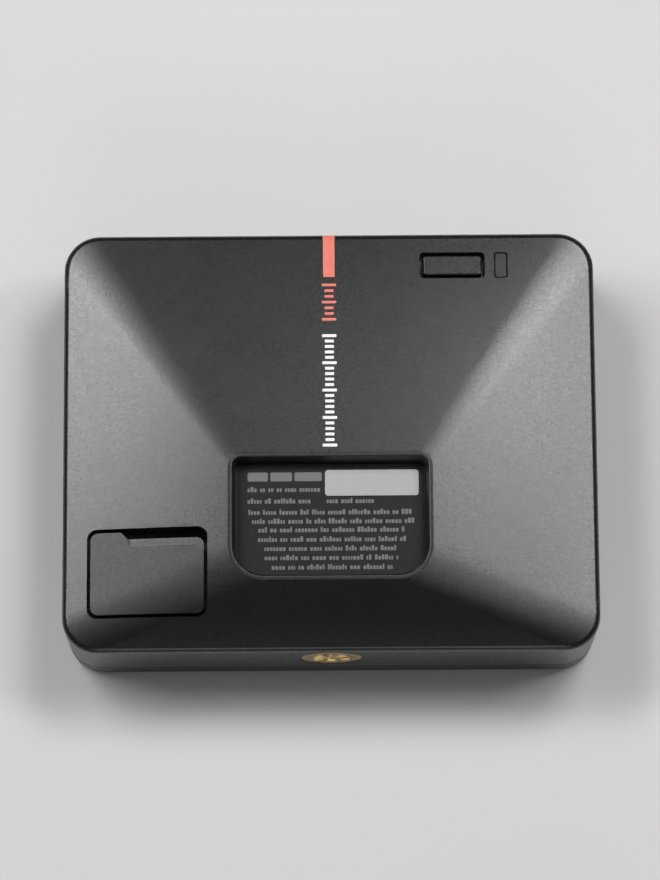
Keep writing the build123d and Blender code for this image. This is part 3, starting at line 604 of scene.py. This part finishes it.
def strap():
    """Flat ribbon with round edges, swept along the centre line."""
    section = []  # offset along Y, offset along the ribbon's normal
    for side, start in ((-1, 90), (1, -90)):
        for i in range(STRAP_EDGE_POINTS):
            angle = math.radians(start + 180 * i / (STRAP_EDGE_POINTS - 1))
            across = side * STRAP_HALF_WIDTH + STRAP_HALF_THICK * math.cos(angle)
            section.append((across, STRAP_HALF_THICK * math.sin(angle)))
    mesh = bmesh.new()
    points = smooth_line(STRAP_LINE)
    centre_y = strap_y / MM
    loops = []
    for i, (x, z) in enumerate(points):
        before = points[max(i - 1, 0)]
        after = points[min(i + 1, len(points) - 1)]
        run_x, run_z = after[0] - before[0], after[1] - before[1]
        length = math.hypot(run_x, run_z)
        normal_x, normal_z = -run_z / length, run_x / length
        loops.append(
            [
                mesh.verts.new(
                    ((x + normal_x * up) * MM, (centre_y + across) * MM, (z + normal_z * up) * MM)
                )
                for across, up in section
            ]
        )
    for first, second in zip(loops, loops[1:]):
        join(mesh, first, second)
    mesh.faces.new(loops[0][::-1])
    mesh.faces.new(loops[-1])
    return mesh


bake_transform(add_object("cap_strap", strap(), "port_rubber", body=None, smooth=True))


# ------------------------------------------------------------------ floor and world (metres)
def floor_material():
    net = Net("floor")
    tone = net.ramp(net.noise(size_mm=60, seed=41), lo=0.3, hi=0.7)
    net.feed("Base Color", net.mix(tone, (0.60, 0.60, 0.60), (0.615, 0.615, 0.615)))
    net.feed("Roughness", 0.75)
    net.feed("Specular IOR Level", 0.2)
    net.bump(net.noise(size_mm=0.5, seed=42), depth_mm=0.01)
    # clear from below and at the face that rests on it, so that face can be seen from underneath
    behind = net.node("ShaderNodeNewGeometry").outputs["Backfacing"]
    clear = net.node("ShaderNodeBsdfTransparent").outputs[0]
    ray_length = net.node("ShaderNodeLightPath").outputs["Ray Length"]
    touching = net.calc("LESS_THAN", ray_length, 0.00015)
    see_through = net.calc("MAXIMUM", behind, touching)
    swap = net.node("ShaderNodeMixShader", {0: see_through, 1: net.bsdf.outputs[0], 2: clear})
    net.put(net.output.inputs["Surface"], swap.outputs[0])
    return net.material


def add_floor():
    mesh = bmesh.new()
    bmesh.ops.create_grid(mesh, x_segments=1, y_segments=1, size=4.0)
    data = bpy.data.meshes.new("floor")
    mesh.to_mesh(data)
    mesh.free()
    floor = bpy.data.objects.new("floor", data)
    floor.location = (0, 0, -0.00006)  # just clear of the housing
    scene.collection.objects.link(floor)
    data.materials.append(floor_material())


def add_world():
    """Bright grey to the camera, a weak white fill to everything else."""
    world = bpy.data.worlds.new("studio")
    scene.world = world
    world.use_nodes = True
    tree = world.node_tree
    tree.nodes.clear()
    output = tree.nodes.new("ShaderNodeOutputWorld")

    def background(grey, strength):
        node = tree.nodes.new("ShaderNodeBackground")
        node.inputs[0].default_value = (grey, grey, grey, 1)
        node.inputs[1].default_value = strength
        return node

    seen = background(grey=0.86, strength=1.0)
    lit = background(grey=1.0, strength=0.081)
    path = tree.nodes.new("ShaderNodeLightPath")
    swap = tree.nodes.new("ShaderNodeMixShader")
    tree.links.new(path.outputs["Is Camera Ray"], swap.inputs[0])
    tree.links.new(lit.outputs[0], swap.inputs[1])
    tree.links.new(seen.outputs[0], swap.inputs[2])
    tree.links.new(swap.outputs[0], output.inputs[0])


add_floor()
add_world()

# ------------------------------------------------------------------ lights (metres)
LIGHT_CENTRE = Vector((0, 0, 0.02))
LIGHT_DISTANCE = 0.80
# name, x and y of the unit direction it stands in, width, height, radiance
SOFTBOXES = (
    ("left_in_upper", -0.34, 0.30, 0.14, 0.13, 13.8),
    ("left_in_top", -0.34, 0.44, 0.14, 0.13, 12.6),
    ("left_mid", -0.47, 0.16, 0.14, 0.13, 2.7),
    ("left_upper", -0.47, 0.30, 0.14, 0.13, 13.9),
    ("left_out_low", -0.60, 0.02, 0.14, 0.13, 4.5),
    ("left_out", -0.60, 0.16, 0.14, 0.13, 16.1),
    ("right_low", 0.34, 0.10, 0.26, 0.24, 2.0),
    ("right_in_upper", 0.30, 0.30, 0.14, 0.13, 14.3),
    ("right_in_top", 0.30, 0.44, 0.14, 0.13, 7.4),
    ("right_upper", 0.42, 0.30, 0.14, 0.13, 8.2),
    ("right_top", 0.42, 0.44, 0.14, 0.13, 4.1),
    ("right_out", 0.55, 0.16, 0.14, 0.13, 19.0),
    ("top_small", 0.20, 0.40, 0.10, 0.10, 19.5),
    ("front_fill", 0.00, -0.86, 0.50, 0.30, 1.6),
)


def softbox(name, direction, width, height, radiance):
    direction = Vector(direction).normalized()
    light = bpy.data.lights.new(name, "AREA")
    light.shape = "RECTANGLE"
    light.size, light.size_y = width, height
    light.energy = radiance * math.pi * width * height
    light.spread = math.radians(180)
    lamp = bpy.data.objects.new(name, light)
    lamp.location = LIGHT_CENTRE + direction * LIGHT_DISTANCE
    lamp.rotation_mode = "QUATERNION"
    lamp.rotation_quaternion = direction.to_track_quat("Z", "Y")
    lamp.visible_camera = False
    scene.collection.objects.link(lamp)


for name, x, y, width, height, radiance in SOFTBOXES:
    softbox(name, (x, y, math.sqrt(1 - x * x - y * y)), width, height, radiance)
softbox("under_fill", (0.15, -0.35, -0.92), width=0.50, height=0.40, radiance=9.0)

# ------------------------------------------------------------------ camera (metres) and render
CAMERA_TARGET = Vector((0, 0.0, 0.0215))
CAMERA_DISTANCE = 0.667
CAMERA_ELEVATION = math.radians(77.5)
CAMERA_ROLL = math.radians(-0.4)

camera_data = bpy.data.cameras.new("camera")
camera_data.sensor_width = 36.0
camera_data.lens = 164.0
camera_data.clip_start, camera_data.clip_end = 0.01, 20
camera = bpy.data.objects.new("camera", camera_data)
scene.collection.objects.link(camera)
to_camera = Vector((0, -math.cos(CAMERA_ELEVATION), math.sin(CAMERA_ELEVATION)))
roll = Matrix.Rotation(CAMERA_ROLL, 4, "Z").to_quaternion()
camera.rotation_mode = "QUATERNION"
camera.rotation_quaternion = (-to_camera).to_track_quat("-Z", "Y") @ roll
camera.location = CAMERA_TARGET + to_camera * CAMERA_DISTANCE
scene.camera = camera

scene.view_settings.view_transform = "Standard"
scene.view_settings.look = "None"
scene.view_settings.exposure = 0.0
scene.cycles.use_denoising = True
scene.cycles.denoising_input_passes = "RGB_ALBEDO"  # the normals' grain is too fine to guide it
scene.cycles.max_bounces = 8
scene.cycles.caustics_reflective = False
scene.cycles.caustics_refractive = False
